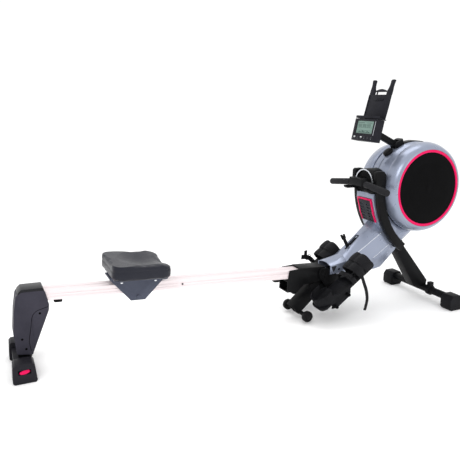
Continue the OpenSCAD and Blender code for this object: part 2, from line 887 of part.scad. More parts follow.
module rear_post() {
    color("#141416") place() difference() {
        union() {
            translate([54, 0, 56]) block(46, 46, 150);
            translate([58, 0, 200]) block(36, 46, 80);
            translate([0, 0, rail_z]) rotate([0, rail_tilt, 0])
                translate([92, 0, -rail_h - 6]) block(100, 60, 5.8);
        }
        translate([54, 0, 40]) block(40, 40, 160);
        translate([58, 0, 190]) block(30, 40, 78);
        translate([0, 0, rail_z]) rotate([0, rail_tilt, 0])
            translate([rail_start - 20, -60, -rail_h - 0.2]) cube([400, 120, 100]);
    }
}

module rear_foot() {
    color("#3f4147") place() {
        translate([foot_l / 2, 0, 12]) difference() {
            slab(foot_l - 22, 2 * (foot_half_w - foot_cap_w) - 1, 44, 6);
            translate([0, 0, 4]) block(foot_l - 34, 2 * foot_half_w, 34);
        }
        both_sides() translate([0, -foot_half_w + foot_cap_w / 2, 0]) difference() {
            side_plate(foot_cap_w, [[6, 0], [82, 0], [foot_l, 8], [82, 70], [74, foot_h], [12, foot_h],
                [4, 70], [0, 8]]);
            translate([foot_l / 2, -20, 46]) cube([46, 30, 18], center = true);
        }
    }
}

// ---- Seat ----

module on_seat() {
    on_rail() translate([seat_s, 0, 0]) children();
}

module seat_pad() {
    color("#1c1c1e") on_seat() translate([0, 0, pad_bottom]) slab(seat_l, seat_w, seat_t, 42);
}

module seat_bolt(s, z) {
    translate([s, 0, z]) {
        along_y(bolt_d, 2 * (plate_y + plate_t));
        both_sides() translate([0, -plate_y - plate_t - 3, 0]) along_y(15, 6);
    }
}

module seat_carriage() {
    side = [[-120, carriage_top], [120, carriage_top], [30, -70], [-30, -70]];
    color("#3a3d44") on_seat() {
        both_sides() difference() {
            translate([0, -plate_y - plate_t / 2, 0]) side_plate(plate_t, side);
            for (s = [-roller_gap, roller_gap])
                translate([s, -plate_y, roller_r + gap]) along_y(bolt_d, 40);
            translate([0, -plate_y, -rail_h - lower_r - gap]) along_y(bolt_d, 40);
        }
        translate([0, 0, carriage_top]) block(240, 2 * (plate_y + plate_t), 5);
        translate([0, 0, carriage_top + 5]) slab(seat_l - 40, seat_w - 60, pad_bottom - carriage_top - 5, 20);
        seat_bolt(-roller_gap, roller_r + gap);
        seat_bolt(roller_gap, roller_r + gap);
        seat_bolt(0, -rail_h - lower_r - gap);
    }
}

module roller(r) {
    rotate([90, 0, 0]) rotate_extrude($fn = 48)
        polygon([[bolt_d / 2 + fit, -roller_w / 2], [r - 2, -roller_w / 2], [r, -roller_w / 2 + 2],
            [r, roller_w / 2 - 2], [r - 2, roller_w / 2], [bolt_d / 2 + fit, roller_w / 2]]);
}

module roller_pair(s) {
    color("#8b8e94") on_seat() for (y = [-22, 22])
        translate([s, y, roller_r + gap]) roller(roller_r);
}

module rollers_front() {
    roller_pair(roller_gap);
}

module rollers_rear() {
    roller_pair(-roller_gap);
}

module roller_lower() {
    color("#8b8e94") on_seat() for (y = [-22, 22])
        translate([0, y, -rail_h - lower_r - gap]) roller(lower_r);
}

// ---- Handle ----

module handle_half(d, from, to) {
    translate([handle_x, 0, handle_z]) rotate([handle_drop, 0, 0])
        translate([0, -(from + to) / 2, 0]) along_y(d, to - from);
}

module handle_bar() {
    color("#1a1a1c") place() {
        both_sides() handle_half(bar_tube_d, 8, handle_l / 2 - 4);
        translate([handle_x, 0, handle_z - block_h / 2]) slab(36, block_w, block_h, 12);
    }
}

module handle_grips() {
    color("#2b2b2e") place() both_sides() difference() {
        handle_half(grip_d, block_w / 2 + 3, handle_l / 2);
        handle_half(bar_tube_d, 8, handle_l / 2 - 4);
    }
}

module pull_strap() {
    color("#101012") place() translate([handle_x + 18 + gap, -strap_band_w / 2, spool_z + spool_r + gap])
        cube([spool_x - handle_x - 18, strap_band_w, 2]);
}

// ---- Console ----

// Console frame: x away from the user, z up the face
module on_console() {
    place() translate([face_x, 0, face_z]) rotate([0, console_lean, 0]) children();
}

module console_arm() {
    dx = arm_base[0] - head_joint[0];
    dz = arm_base[1] - head_joint[1];
    color("#161719") place() translate([head_joint[0], 0, head_joint[1]]) rotate([0, -atan2(dz, dx), 0]) {
        reach = sqrt(dx * dx + dz * dz);
        difference() {
            union() {
                translate([0, -15, -14]) cube([reach, 30, 28]);
                along_y(28, 30);
                translate([reach, 0, 0]) along_y(28, 30);
            }
            along_y(8 + 2 * fit, 60);
            translate([reach, 0, 0]) along_y(8 + 2 * fit, 60);
        }
    }
}

function button_y(i) = (i - (button_count - 1) / 2) * button_pitch;

module console_case() {
    wall = 3;
    color("#2a2b30") on_console() difference() {
        union() {
            translate([0, -console_w / 2, 0]) cube([console_d, console_w, console_h]);
            // Lugs for the head joint
            both_sides() translate([console_d, -23, 40]) cube([26, 6, 24]);
            translate([head_pin[0], 0, head_pin[1]]) along_y(8, 40);
        }
        translate([wall, -console_w / 2 + wall, wall])
            cube([console_d - 2 * wall, console_w - 2 * wall, console_h - 2 * wall]);
        translate([-1, -60, 34]) cube([wall + 2, 120, 60]);
        for (i = [0:button_count - 1])
            translate([-1, button_y(i) - 6, button_z - 3.5]) cube([wall + 2, 12, 7]);
    }
}

module console_screen() {
    color("#9db3aa") on_console() translate([1.2, -59.7, 34.3]) cube([3, 119.4, 59.4]);
}

module console_button(i) {
    color(i == 3 || i == 5 ? "#c9cacc" : "#4a4b50") on_console()
        translate([-1.2, button_y(i) - 5.6, button_z - 3.1]) cube([6, 11.2, 6.2]);
}

module tablet_holder() {
    color("#2c2d33") place() translate([holder_x, 0, holder_z]) rotate([0, holder_lean, 0]) difference() {
        union() {
            translate([0, -holder_w / 2, 0]) cube([holder_t, holder_w, 144]);
            both_sides() translate([0, -holder_w / 2, 0]) cube([holder_t, 34, holder_h]);
            // Ledge and its lip
            translate([-38, -94, -4]) cube([44, 188, 6]);
            translate([-38, -94, -4]) cube([4, 188, 14]);
            // Pad that stops the tablet from slipping
            translate([-2, -32, 88]) cube([4, 64, 16]);
        }
        translate([-10, -46, 118]) cube([30, 68, 16]);
        translate([-10, 30, 118]) cube([30, 16, 16]);
    }
}

front_stabiliser();
stabiliser_caps();
front_leg();
main_beam();
wheel_strut();
axles();
footrest_bars();
footplate_left();
footplate_right();
foot_straps();
nose_hood();
nose_trim();
vent_panel();
vent_trim();
neck_covers();
spine_shell_left();
spine_shell_right();
drum_cover_left();
drum_cover_right();
accent_rings();
drum_grilles();
handle_arms();
console_base();
drive_belt();
recoil_spring();
cover_screws();
flywheel();
strap_spool();
magnet_bracket();
arm_knob();
brake_lever();
lock_pin();
heel_cup_left();
heel_cup_right();
strut_wheel_left();
strut_wheel_right();
rail();
hinge_bracket();
rail_bumpers();
rear_covers();
rear_post();
rear_foot();
seat_pad();
seat_carriage();
rollers_front();
rollers_rear();
roller_lower();
handle_bar();
handle_grips();
pull_strap();
console_arm();
console_case();
console_screen();
tablet_holder();
console_button(0);  // console_button_1
console_button(1);  // console_button_2
console_button(2);  // console_button_3
console_button(3);  // console_button_4
console_button(4);  // console_button_5
console_button(5);  // console_button_6
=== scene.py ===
import json
import math

import bmesh
import bpy
from mathutils import Matrix, Vector


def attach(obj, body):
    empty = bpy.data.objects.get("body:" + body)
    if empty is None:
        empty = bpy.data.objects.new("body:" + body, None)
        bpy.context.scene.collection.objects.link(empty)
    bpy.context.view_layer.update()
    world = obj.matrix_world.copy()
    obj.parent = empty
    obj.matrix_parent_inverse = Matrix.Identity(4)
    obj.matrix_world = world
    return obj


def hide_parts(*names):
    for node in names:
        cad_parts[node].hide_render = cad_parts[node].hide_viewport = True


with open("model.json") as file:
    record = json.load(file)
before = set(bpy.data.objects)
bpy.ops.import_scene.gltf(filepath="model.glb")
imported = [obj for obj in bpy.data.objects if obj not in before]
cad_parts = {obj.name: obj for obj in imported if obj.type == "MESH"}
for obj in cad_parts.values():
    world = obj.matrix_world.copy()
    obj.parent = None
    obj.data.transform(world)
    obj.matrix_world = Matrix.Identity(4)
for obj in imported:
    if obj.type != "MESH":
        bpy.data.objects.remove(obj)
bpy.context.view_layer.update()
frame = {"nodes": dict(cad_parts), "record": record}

BODIES = frame["record"]["behaviour"]["bodies"]
BODY_OF = {node: body for body, nodes in BODIES.items() for node in nodes}

# ------------------------------------------------ camera, floor and light

CAMERA_PLACE = (-1.1207, -2.1671, 1.0362)
CAMERA_DROP = 13.33         # degrees below level
CAMERA_TURN = -24.39        # degrees about the upright axis
CAMERA_LENS = 43.22
SENSOR_WIDTH = 36
FLOOR_SIZE = 60
WORLD_STRENGTH = 1.06
WHITE = (1, 1, 1, 1)


def tune(node, values):
    """Sets a node's sockets by name."""
    for label, value in values.items():
        node.inputs[label].default_value = value


def make_camera():
    data = bpy.data.cameras.new("studio_camera")
    data.lens = CAMERA_LENS
    data.sensor_width = SENSOR_WIDTH
    data.clip_end = 50
    camera = bpy.data.objects.new("studio_camera", data)
    camera.location = CAMERA_PLACE
    camera.rotation_euler = (math.radians(90 - CAMERA_DROP), 0, math.radians(CAMERA_TURN))
    bpy.context.collection.objects.link(camera)
    bpy.context.scene.camera = camera
    bpy.context.scene.view_settings.view_transform = "Standard"


def make_floor():
    bpy.ops.mesh.primitive_plane_add(size=FLOOR_SIZE)
    floor = bpy.context.object
    floor.name = "studio_floor"
    floor_paint = bpy.data.materials.new("studio_floor")
    floor_paint.use_nodes = True
    tune(floor_paint.node_tree.nodes["Principled BSDF"],
         {"Base Color": WHITE, "Roughness": 0.85, "Specular IOR Level": 0.1})
    floor.data.materials.append(floor_paint)


def make_world():
    world = bpy.data.worlds.new("studio")
    bpy.context.scene.world = world
    world.use_nodes = True
    tune(world.node_tree.nodes["Background"], {"Color": WHITE, "Strength": WORLD_STRENGTH})


def soft_light(name, place, target, power, size):
    data = bpy.data.lights.new(name, "AREA")
    data.energy = power
    data.shape = "RECTANGLE"
    data.size, data.size_y = size
    lamp = bpy.data.objects.new(name, data)
    lamp.location = place
    lamp.rotation_euler = (Vector(target) - Vector(place)).to_track_quat("-Z", "Y").to_euler()
    bpy.context.collection.objects.link(lamp)


make_camera()
make_floor()
make_world()
soft_light("key_light", (-1.9, -2.4, 3.0), (0.3, 0, 0.4), 44, (1.8, 1.8))
soft_light("front_light", (1.6, -3.2, 1.4), (0.5, 0, 0.5), 14, (1.2, 2.2))
soft_light("top_light", (0.4, 0.6, 3.4), (0.2, 0, 0.3), 34, (3.2, 1.4))

# ------------------------------------------------ finishes


def shared_group(name, inputs, outputs):
    group = bpy.data.node_groups.new(name, "ShaderNodeTree")
    for label, kind, value in inputs:
        socket = group.interface.new_socket(name=label, in_out="INPUT", socket_type=kind)
        if value is not None:
            socket.default_value = value
    for label, kind in outputs:
        group.interface.new_socket(name=label, in_out="OUTPUT", socket_type=kind)
    entry = group.nodes.new("NodeGroupInput")
    leave = group.nodes.new("NodeGroupOutput")
    return group, entry, leave


def make_moulded():
    """Fine moulded or sprayed surface: small bumps, and slow patches of handling."""
    group, entry, leave = shared_group(
        "moulded_surface",
        [("Place", "NodeSocketVector", None), ("Bump Size", "NodeSocketFloat", 900.0),
         ("Patch Size", "NodeSocketFloat", 7.0), ("Plain", "NodeSocketColor", (0, 0, 0, 1)),
         ("Worn", "NodeSocketColor", (0, 0, 0, 1)), ("Rough", "NodeSocketFloat", 0.5),
         ("Rough Range", "NodeSocketFloat", 0.1)],
        [("Colour", "NodeSocketColor"), ("Roughness", "NodeSocketFloat"),
         ("Height", "NodeSocketFloat")])
    nodes, links = group.nodes, group.links
    fine = nodes.new("ShaderNodeTexNoise")
    tune(fine, {"Detail": 3})
    patch = nodes.new("ShaderNodeTexNoise")
    tune(patch, {"Detail": 5, "Roughness": 0.62})
    links.new(entry.outputs["Place"], fine.inputs["Vector"])
    links.new(entry.outputs["Bump Size"], fine.inputs["Scale"])
    links.new(entry.outputs["Place"], patch.inputs["Vector"])
    links.new(entry.outputs["Patch Size"], patch.inputs["Scale"])
    ramp = nodes.new("ShaderNodeMapRange")
    tune(ramp, {"From Min": 0.35, "From Max": 0.68})
    links.new(patch.outputs["Fac"], ramp.inputs["Value"])
    mix = nodes.new("ShaderNodeMix")
    mix.data_type = "RGBA"
    links.new(ramp.outputs["Result"], mix.inputs["Factor"])
    links.new(entry.outputs["Plain"], mix.inputs["A"])
    links.new(entry.outputs["Worn"], mix.inputs["B"])
    shift = nodes.new("ShaderNodeMath")
    shift.operation = "MULTIPLY_ADD"
    links.new(ramp.outputs["Result"], shift.inputs[0])
    links.new(entry.outputs["Rough Range"], shift.inputs[1])
    links.new(entry.outputs["Rough"], shift.inputs[2])
    links.new(mix.outputs["Result"], leave.inputs["Colour"])
    links.new(shift.outputs["Value"], leave.inputs["Roughness"])
    links.new(fine.outputs["Fac"], leave.inputs["Height"])
    return group


def make_leather():
    """Leather grain: small, slightly bent cells with soft valleys between them."""
    group, entry, leave = shared_group(
        "leather_grain", [("Place", "NodeSocketVector", None),
                          ("Cell Size", "NodeSocketFloat", 420.0)], [("Height", "NodeSocketFloat")])
    nodes, links = group.nodes, group.links
    bend = nodes.new("ShaderNodeTexNoise")
    tune(bend, {"Scale": 60})
    cells = nodes.new("ShaderNodeTexVoronoi")
    cells.feature = "DISTANCE_TO_EDGE"
    add = nodes.new("ShaderNodeVectorMath")
    add.operation = "MULTIPLY_ADD"
    add.inputs[1].default_value = (0.004, 0.004, 0.004)
    links.new(entry.outputs["Place"], bend.inputs["Vector"])
    links.new(bend.outputs["Color"], add.inputs[0])
    links.new(entry.outputs["Place"], add.inputs[2])
    links.new(add.outputs["Vector"], cells.inputs["Vector"])
    links.new(entry.outputs["Cell Size"], cells.inputs["Scale"])
    ramp = nodes.new("ShaderNodeMapRange")
    tune(ramp, {"From Max": 0.22})
    links.new(cells.outputs["Distance"], ramp.inputs["Value"])
    links.new(ramp.outputs["Result"], leave.inputs["Height"])
    return group


def make_weave():
    """Two crossed sets of threads."""
    group, entry, leave = shared_group(
        "webbing_weave", [("Place", "NodeSocketVector", None),
                          ("Threads", "NodeSocketFloat", 330.0)], [("Height", "NodeSocketFloat")])
    nodes, links = group.nodes, group.links
    total = nodes.new("ShaderNodeMath")
    total.operation = "MAXIMUM"
    for i, way in enumerate(("X", "Y")):
        wave = nodes.new("ShaderNodeTexWave")
        wave.bands_direction = way
        tune(wave, {"Distortion": 0.3})
        links.new(entry.outputs["Place"], wave.inputs["Vector"])
        links.new(entry.outputs["Threads"], wave.inputs["Scale"])
        links.new(wave.outputs["Fac"], total.inputs[i])
    links.new(total.outputs["Value"], leave.inputs["Height"])
    return group


MOULDED, LEATHER, WEAVE = make_moulded(), make_leather(), make_weave()
COAT_ROUGHNESS = 0.12


def finish(name, colour, rough, worn=None, rough_range=0.1, metal=0.0, coat=0.0,
           bump=(900, 0.15, 0.0002), patch=7.0, brushed=None, pattern=None, sheen=0.0,
           specular=0.08):
    """A material. Its bump is a size, a strength and a depth; a pattern is a group and the same."""
    material = bpy.data.materials.new(name)
    material.use_nodes = True
    nodes, links = material.node_tree.nodes, material.node_tree.links
    shader = nodes["Principled BSDF"]
    place = nodes.new("ShaderNodeTexCoord")
    source = place.outputs["Object"]
    if brushed:
        stretch = nodes.new("ShaderNodeMapping")
        tune(stretch, {"Scale": brushed})
        links.new(source, stretch.inputs["Vector"])
        source = stretch.outputs["Vector"]
    surface = nodes.new("ShaderNodeGroup")
    surface.node_tree = MOULDED
    links.new(source, surface.inputs["Place"])
    grain_size, grain_strength, grain_depth = bump
    tune(surface, {"Bump Size": grain_size, "Patch Size": patch, "Plain": (*colour, 1),
                   "Worn": (*(worn or [c * 1.22 + 0.002 for c in colour]), 1), "Rough": rough,
                   "Rough Range": rough_range})
    links.new(surface.outputs["Colour"], shader.inputs["Base Color"])
    links.new(surface.outputs["Roughness"], shader.inputs["Roughness"])
    relief = nodes.new("ShaderNodeBump")
    tune(relief, {"Strength": grain_strength, "Distance": grain_depth})
    links.new(surface.outputs["Height"], relief.inputs["Height"])
    if pattern:
        group, size, strength, depth = pattern
        extra = nodes.new("ShaderNodeGroup")
        extra.node_tree = group
        links.new(place.outputs["Object"], extra.inputs["Place"])
        extra.inputs[1].default_value = size
        second = nodes.new("ShaderNodeBump")
        tune(second, {"Strength": strength, "Distance": depth})
        links.new(extra.outputs["Height"], second.inputs["Height"])
        links.new(second.outputs["Normal"], relief.inputs["Normal"])
    links.new(relief.outputs["Normal"], shader.inputs["Normal"])
    tune(shader, {"Metallic": metal, "Coat Weight": coat, "Coat Roughness": COAT_ROUGHNESS,
                  "Sheen Weight": sheen, "Specular IOR Level": specular})
    return material


SILVER = finish("silver_paint", (0.235, 0.265, 0.350), 0.26, worn=(0.255, 0.285, 0.370), metal=0.5,
                coat=0.3, bump=(1500, 0.08, 0.0001), rough_range=0.05, specular=0.5)
# Bright silver for real trim, also used for the painted highlight lines on the neck and the
# console's edge
SILVER_TRIM_AND_HIGHLIGHT = finish("silver_trim", (0.60, 0.62, 0.66), 0.25, metal=0.8, bump=(1200, 0.05, 0.0001),
                     specular=0.5)
FRAME_BLACK = finish("black_powder_coat", (0.0035, 0.0036, 0.0040), 0.38,
                     worn=(0.0065, 0.0067, 0.0075), bump=(650, 0.35, 0.0003), patch=11)
FRAME_GREY = finish("grey_powder_coat", (0.005, 0.0052, 0.006), 0.40, bump=(650, 0.35, 0.0003),
                    patch=11)
DARK_SHELL = finish("dark_moulding", (0.0045, 0.0046, 0.0052), 0.34, bump=(1100, 0.3, 0.0002),
                    patch=14)
FOOT_BLACK = finish("footrest_moulding", (0.0045, 0.0046, 0.0055), 0.42,
                    worn=(0.009, 0.0092, 0.011), bump=(800, 0.5, 0.0003), patch=18)
GRILLE = finish("grille_moulding", (0.0026, 0.0026, 0.0028), 0.45, worn=(0.0036, 0.0036, 0.0040),
                bump=(700, 0.4, 0.0003), patch=26, specular=0.03)
HOLE = finish("grille_hole", (0.0006, 0.0006, 0.0006), 0.9, bump=(500, 0.05, 0.0001), specular=0.0)
ACCENT = finish("accent_red", (0.66, 0.002, 0.082), 0.32, worn=(0.71, 0.004, 0.098), coat=0.12,
                bump=(900, 0.06, 0.0001))
# Dark moulding of the vent, also used as painted shade on the neck's recesses
VENT_AND_RECESS_SHADE = finish("vent_moulding_and_recess_shade", (0.022, 0.022, 0.027), 0.42, bump=(800, 0.35, 0.0002), patch=20)
RAIL = finish("anodised_rail", (0.80, 0.71, 0.72), 0.33, worn=(0.74, 0.67, 0.68), metal=0.25,
              brushed=(1, 70, 70), bump=(60, 0.10, 0.0002), patch=5, coat=0.1, specular=0.4)
STEEL = finish("bright_steel", (0.62, 0.63, 0.65), 0.25, metal=1.0, bump=(500, 0.12, 0.0002),
               specular=0.5)
CAST = finish("cast_wheel", (0.16, 0.165, 0.17), 0.45, metal=0.9, bump=(400, 0.5, 0.0004),
              specular=0.5)
RUBBER = finish("black_rubber", (0.006, 0.006, 0.0065), 0.6, bump=(600, 0.5, 0.0004), patch=30)
REAR_SHELL = finish("slate_moulding", (0.030, 0.029, 0.040), 0.44, worn=(0.042, 0.040, 0.054),
                    bump=(900, 0.45, 0.0003), patch=9)
FOOT_BLOCK = finish("foot_block", (0.011, 0.0105, 0.0135), 0.40, worn=(0.017, 0.0165, 0.021),
                    bump=(900, 0.4, 0.0003), patch=9)
REAR_TOP = finish("slate_gloss", (0.008, 0.008, 0.010), 0.24, bump=(900, 0.06, 0.0001), coat=0.15)
CARRIAGE = finish("carriage_paint", (0.050, 0.056, 0.084), 0.36, worn=(0.062, 0.070, 0.100),
                  metal=0.2, bump=(600, 0.3, 0.0003), patch=16, specular=0.3)
ROLLER = finish("roller_nylon", (0.25, 0.26, 0.28), 0.4, bump=(700, 0.2, 0.0002), specular=0.4)
FOAM = finish("grip_foam", (0.010, 0.010, 0.012), 0.72, worn=(0.016, 0.016, 0.018),
              bump=(420, 0.8, 0.0005), patch=22, sheen=0.04)
LEATHER_BLACK = finish("seat_leather", (0.0048, 0.0056, 0.0125), 0.30, worn=(0.009, 0.010, 0.018),
                       rough_range=0.12, bump=(200, 0.1, 0.0003), patch=10,
                       pattern=(LEATHER, 420.0, 0.4, 0.0004), sheen=0.02, specular=0.26)
WEBBING = finish("black_webbing", (0.006, 0.006, 0.007), 0.66, worn=(0.012, 0.012, 0.014),
                 bump=(700, 0.3, 0.0003), patch=25, pattern=(WEAVE, 330.0, 0.7, 0.0005), sheen=0.05)
CONSOLE = finish("console_moulding", (0.0095, 0.0095, 0.013), 0.38, worn=(0.015, 0.015, 0.020),
                 bump=(1000, 0.35, 0.0002), patch=20)
LCD = finish("display_glass", (0.15, 0.225, 0.195), 0.2, worn=(0.17, 0.25, 0.22), rough_range=0.03,
             coat=0.15, bump=(300, 0.02, 0.0001), patch=9)
LCD_MARK = finish("display_mark", (0.045, 0.075, 0.065), 0.3, bump=(300, 0.02, 0.0001))
KEY_DARK = finish("key_dark", (0.035, 0.035, 0.04), 0.45)
KEY_LIGHT = finish("key_light", (0.50, 0.51, 0.52), 0.4)

# ------------------------------------------------ frames of the model, in millimetres

DATUM_TO_ORIGIN = 1085      # along x, from the back of the rear foot to the row frame's origin


def set_at(x, y, z, lean=0.0):
    """A frame at a point from the back of the rear foot, leaning about the sideways axis."""
    place = Vector(((x - DATUM_TO_ORIGIN) / 1000, y / 1000, z / 1000))
    return (Matrix.Translation(place) @ Matrix.Rotation(math.radians(lean), 4, "Y")
            @ Matrix.Scale(0.001, 4))


FLOOR = set_at(0, 0, 0)
RAIL_TOP = set_at(0, 0, 326, 3.25)
SEAT = RAIL_TOP @ Matrix.Translation((514, 0, 0))
SOLE = set_at(1338, 0, 82, -34.5)
DRUM = set_at(1947.5, 0, 612)
FACE = set_at(1637, 0, 844, 12.3)
HOLDER = set_at(1700, 0, 942.5, 15)

# ------------------------------------------------ shaping helpers

MADE_SMOOTH_TO = 32         # degrees between faces, for shapes made here
CAD_SMOOTH_TO = 30          # the same, for copies of CAD nodes
UPRIGHT_TO_SIDEWAYS = Matrix.Rotation(math.pi / 2, 4, "X")


def soften(bm, width, steps=2, above=28):
    """Rounds every edge that turns more than the angle."""
    sharp = [e for e in bm.edges if e.is_manifold and e.calc_face_angle(0) > math.radians(above)]
    if sharp:
        bmesh.ops.bevel(bm, geom=sharp, offset=width, segments=steps, profile=0.5, affect="EDGES",
                        clamp_overlap=True, material=-1)


def stand_up(bm, name, look, body, stands_for, smooth_to):
    """Makes an object of the shape, with its finish and its body."""
    mesh = bpy.data.meshes.new(name)
    bm.to_mesh(mesh)
    bm.free()
    mesh.shade_smooth()
    mesh.set_sharp_from_angle(angle=math.radians(smooth_to))
    mesh.materials.clear()
    mesh.materials.append(look)
    piece = bpy.data.objects.new(name, mesh)
    bpy.context.collection.objects.link(piece)
    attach(piece, body)
    if stands_for:
        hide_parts(*stands_for)
    return piece


def settle(bm, name, place, look, body, stands_for=()):
    """Puts a shape made in millimetres in its place, and stands it up."""
    bmesh.ops.transform(bm, matrix=place, verts=bm.verts)
    bmesh.ops.remove_doubles(bm, verts=bm.verts, dist=0.00001)
    bmesh.ops.recalc_face_normals(bm, faces=bm.faces)
    return stand_up(bm, name, look, body, stands_for, MADE_SMOOTH_TO)


def plate(bm, points, near, far, way="Y"):
    """A flat outline spread along an axis; its points are measured on the other two, in order."""
    axis = "XYZ".index(way)
    corners = [bm.verts.new((*point[:axis], near, *point[axis:])) for point in points]
    grown = bmesh.ops.extrude_face_region(bm, geom=[bm.faces.new(corners)], use_keep_orig=True)
    moved = [v for v in grown["geom"] if isinstance(v, bmesh.types.BMVert)]
    shift = [0, 0, 0]
    shift[axis] = far - near
    bmesh.ops.translate(bm, verts=moved, vec=shift)


def bar(bm, y, z, width, height, near, far):
    """An upright plate across x, from the middle of its bottom edge."""
    left, right, top = y - width / 2, y + width / 2, z + height
    plate(bm, [(left, z), (right, z), (right, top), (left, top)], near, far, way="X")


def box_shape(bm, size, middle, turn):
    """A box of that size, turned about its middle."""
    made = bmesh.ops.create_cube(bm, size=1)["verts"]
    bmesh.ops.scale(bm, verts=made, vec=size)
    bmesh.ops.rotate(bm, verts=made, cent=(0, 0, 0), matrix=turn)
    bmesh.ops.translate(bm, verts=made, vec=middle)


def rod(bm, radius, length, middle, sides):
    """A round rod along y."""
    bmesh.ops.create_cone(bm, cap_ends=True, segments=sides, radius1=radius, radius2=radius,
                          depth=length, matrix=Matrix.Translation(middle) @ UPRIGHT_TO_SIDEWAYS)


def turned(bm, profile, steps):
    """Spins a closed profile of (radius, y) about the y axis."""
    points = [bm.verts.new((r, y, 0)) for r, y in profile]
    edges = [bm.edges.new((a, b)) for a, b in zip(points, points[1:] + points[:1])]
    bmesh.ops.spin(bm, geom=points + edges, cent=(0, 0, 0), axis=(0, 1, 0), angle=math.tau,
                   steps=steps, use_merge=True, use_duplicate=False)
    bmesh.ops.remove_doubles(bm, verts=bm.verts, dist=0.001)


def flowing(points, steps=6):
    """A smooth run through the points."""
    out = []
    for i in range(len(points) - 1):
        p0 = Vector(points[max(i - 1, 0)])
        p1, p2 = Vector(points[i]), Vector(points[i + 1])
        p3 = Vector(points[min(i + 2, len(points) - 1)])
        for k in range(steps):
            t = k / steps
            out.append(tuple(0.5 * ((2 * p1) + (p2 - p0) * t
                                    + (2 * p0 - 5 * p1 + 4 * p2 - p3) * t * t
                                    + (3 * p1 - p0 - 3 * p2 + p3) * t ** 3)))
    out.append(tuple(points[-1]))
    return out


def carried(bm, path, across, outline_at):
    """Joins the closed outlines of (across, up) set at the path's points, and closes both ends."""
    across = Vector(across)
    rings = []
    for i, point in enumerate(path):
        ahead = Vector(path[min(i + 1, len(path) - 1)]) - Vector(path[max(i - 1, 0)])
        up = ahead.normalized().cross(across).normalized()
        ring = [bm.verts.new(Vector(point) + across * a + up * u) for a, u in outline_at(i)]
        rings.append([bm.edges.new((a, b)) for a, b in zip(ring, ring[1:] + ring[:1])])
    for a, b in zip(rings, rings[1:]):
        bmesh.ops.bridge_loops(bm, edges=a + b)
    for ring in (rings[0], rings[-1]):
        bmesh.ops.contextual_create(bm, geom=ring)


def swept(bm, path, outline, across=(0, 1, 0)):
    """Carries one closed outline along a path of points."""
    carried(bm, path, across, lambda i: outline)


def rounded(w, h, r, steps=3):
    """Closed outline of a rectangle with round corners, middle at 0."""
    out = []
    for cx, cy, start in ((w / 2 - r, h / 2 - r, 0), (-w / 2 + r, h / 2 - r, 90),
                          (-w / 2 + r, -h / 2 + r, 180), (w / 2 - r, -h / 2 + r, 270)):
        for k in range(steps + 1):
            a = math.radians(start + 90 * k / steps)
            out.append((cx + r * math.cos(a), cy + r * math.sin(a)))
    return out


def mirrored(bm):
    """Adds the mirror image on the other side of the machine."""
    copy = bmesh.ops.duplicate(bm, geom=bm.verts[:] + bm.edges[:] + bm.faces[:])["geom"]
    verts = [v for v in copy if isinstance(v, bmesh.types.BMVert)]
    bmesh.ops.scale(bm, verts=verts, vec=(1, -1, 1))
    bmesh.ops.reverse_faces(bm, faces=[f for f in copy if isinstance(f, bmesh.types.BMFace)])


def refined(node, look, width):
    """A merged copy of a CAD node with rounded edges, which stands for it."""
    bm = bmesh.new()
    bm.from_mesh(frame["nodes"][node].data)
    bmesh.ops.remove_doubles(bm, verts=bm.verts, dist=0.00002)
    bmesh.ops.dissolve_limit(bm, angle_limit=math.radians(0.5), verts=bm.verts, edges=bm.edges)
    soften(bm, width)
    stand_up(bm, node + "_finished", look, BODY_OF[node], (node,), CAD_SMOOTH_TO)


def paint(node, look):
    """A better material on a CAD node that keeps its shape."""
    mesh = frame["nodes"][node].data
    mesh.materials.clear()
    mesh.materials.append(look)


# ------------------------------------------------ pieces that keep their CAD shape

for node, look in {
    "axles": FRAME_BLACK, "drive_belt": RUBBER, "recoil_spring": STEEL, "flywheel": CAST,
    "strap_spool": DARK_SHELL, "magnet_bracket": STEEL, "cover_screws": FRAME_BLACK,
    "rollers_front": ROLLER, "rollers_rear": ROLLER, "roller_lower": ROLLER,
}.items():
    paint(node, look)

# ------------------------------------------------ finished copies of CAD nodes

KEY_COUNT = 6
LIGHT_KEYS = (4, 6)

